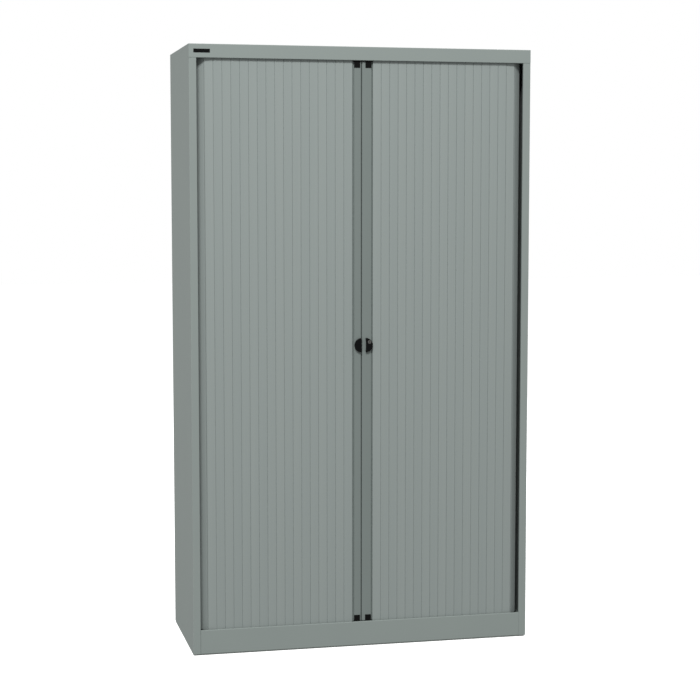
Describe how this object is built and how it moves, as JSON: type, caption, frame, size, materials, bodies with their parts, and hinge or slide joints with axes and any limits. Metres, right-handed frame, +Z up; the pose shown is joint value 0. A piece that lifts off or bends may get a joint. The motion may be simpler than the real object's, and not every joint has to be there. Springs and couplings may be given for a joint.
{
  "type": "side-opening tambour cupboard",
  "caption": "Tall steel office cupboard with two vertical-slat shutters that slide apart into its sides, finger pulls, hook lock and shelves.",
  "frame": {"origin": "on the floor under the middle of the cupboard", "axes": "+Z up, the shutters face -Y, +X to the right as seen from the front"},
  "size_m": [1.14, 0.4712, 1.98],
  "materials": {
    "grey_paint": "satin powder coat",
    "stile_paint": "satin powder coat on aluminium",
    "slat_plastic": "fine matt extruded plastic",
    "black_plastic": "moulded, satin",
    "track_plastic": "extruded, matt",
    "foot_plastic_and_steel": "moulded",
    "galvanised_steel": "dull galvanised",
    "zinc_plated_steel": "zinc plated",
    "nickel_plate": "satin nickel",
    "rubber": "matt"
  },
  "bodies": {
    "carcass": {"side_panel_left": "grey_paint", "side_panel_right": "grey_paint", "top_panel": "grey_paint", "head_panel": "grey_paint", "back_panel": "grey_paint", "base_panel": "grey_paint", "plinth": "grey_paint", "liner_left": "grey_paint", "liner_right": "grey_paint", "liner_back": "grey_paint", "floor_tray": "grey_paint", "shelf_1": "grey_paint", "shelf_2": "grey_paint", "shelf_3": "grey_paint", "shelf_4": "grey_paint", "shutter_left": "slat_plastic", "shutter_right": "slat_plastic", "corner_guide_top_left": "black_plastic", "corner_guide_top_right": "black_plastic", "corner_guide_bottom_left": "black_plastic", "corner_guide_bottom_right": "black_plastic", "rail_plate": "black_plastic", "front_track_top": "track_plastic", "front_track_bottom": "track_plastic", "side_track_top_left": "track_plastic", "side_track_top_right": "track_plastic", "side_track_bottom_left": "track_plastic", "side_track_bottom_right": "track_plastic", "levelling_foot_front_left": "foot_plastic_and_steel", "levelling_foot_front_right": "foot_plastic_and_steel", "levelling_foot_rear_left": "foot_plastic_and_steel", "levelling_foot_rear_right": "foot_plastic_and_steel", "base_rail_left": "galvanised_steel", "base_rail_right": "galvanised_steel", "centre_brace": "galvanised_steel", "back_screws": "zinc_plated_steel", "foot_nuts": "zinc_plated_steel", "shelf_clips": "zinc_plated_steel", "track_stops": "rubber"},
    "left_stile": {"stile_left": "stile_paint", "shoe_left_top": "black_plastic", "shoe_left_bottom": "black_plastic", "meeting_strip": "rubber", "pull_left": "black_plastic", "pull_screws_left": "zinc_plated_steel", "keeper": "zinc_plated_steel"},
    "right_stile": {"stile_right": "stile_paint", "shoe_right_top": "black_plastic", "shoe_right_bottom": "black_plastic", "pull_right": "black_plastic", "pull_screws_right": "zinc_plated_steel", "lock_case": "nickel_plate", "lock_ring_nut": "zinc_plated_steel"},
    "lock": {"lock_barrel": "nickel_plate", "lock_hook": "zinc_plated_steel", "lock_hook_nut": "zinc_plated_steel"}
  },
  "joints": [
    {"name": "left_shutter_slide", "type": "slide", "parent": "carcass", "child": "left_stile", "axis": [-1, 0, 0], "range_m": [0, 0.4695], "deforming": ["shutter_left"]},
    {"name": "right_shutter_slide", "type": "slide", "parent": "carcass", "child": "right_stile", "axis": [1, 0, 0], "range_m": [0, 0.4705], "deforming": ["shutter_right"]},
    {"name": "lock_turn", "type": "hinge", "parent": "right_stile", "child": "lock", "pos_m": [0.0215, -0.22, 1.019], "axis": [0, 1, 0], "range_deg": [0, 90]}
  ]
}
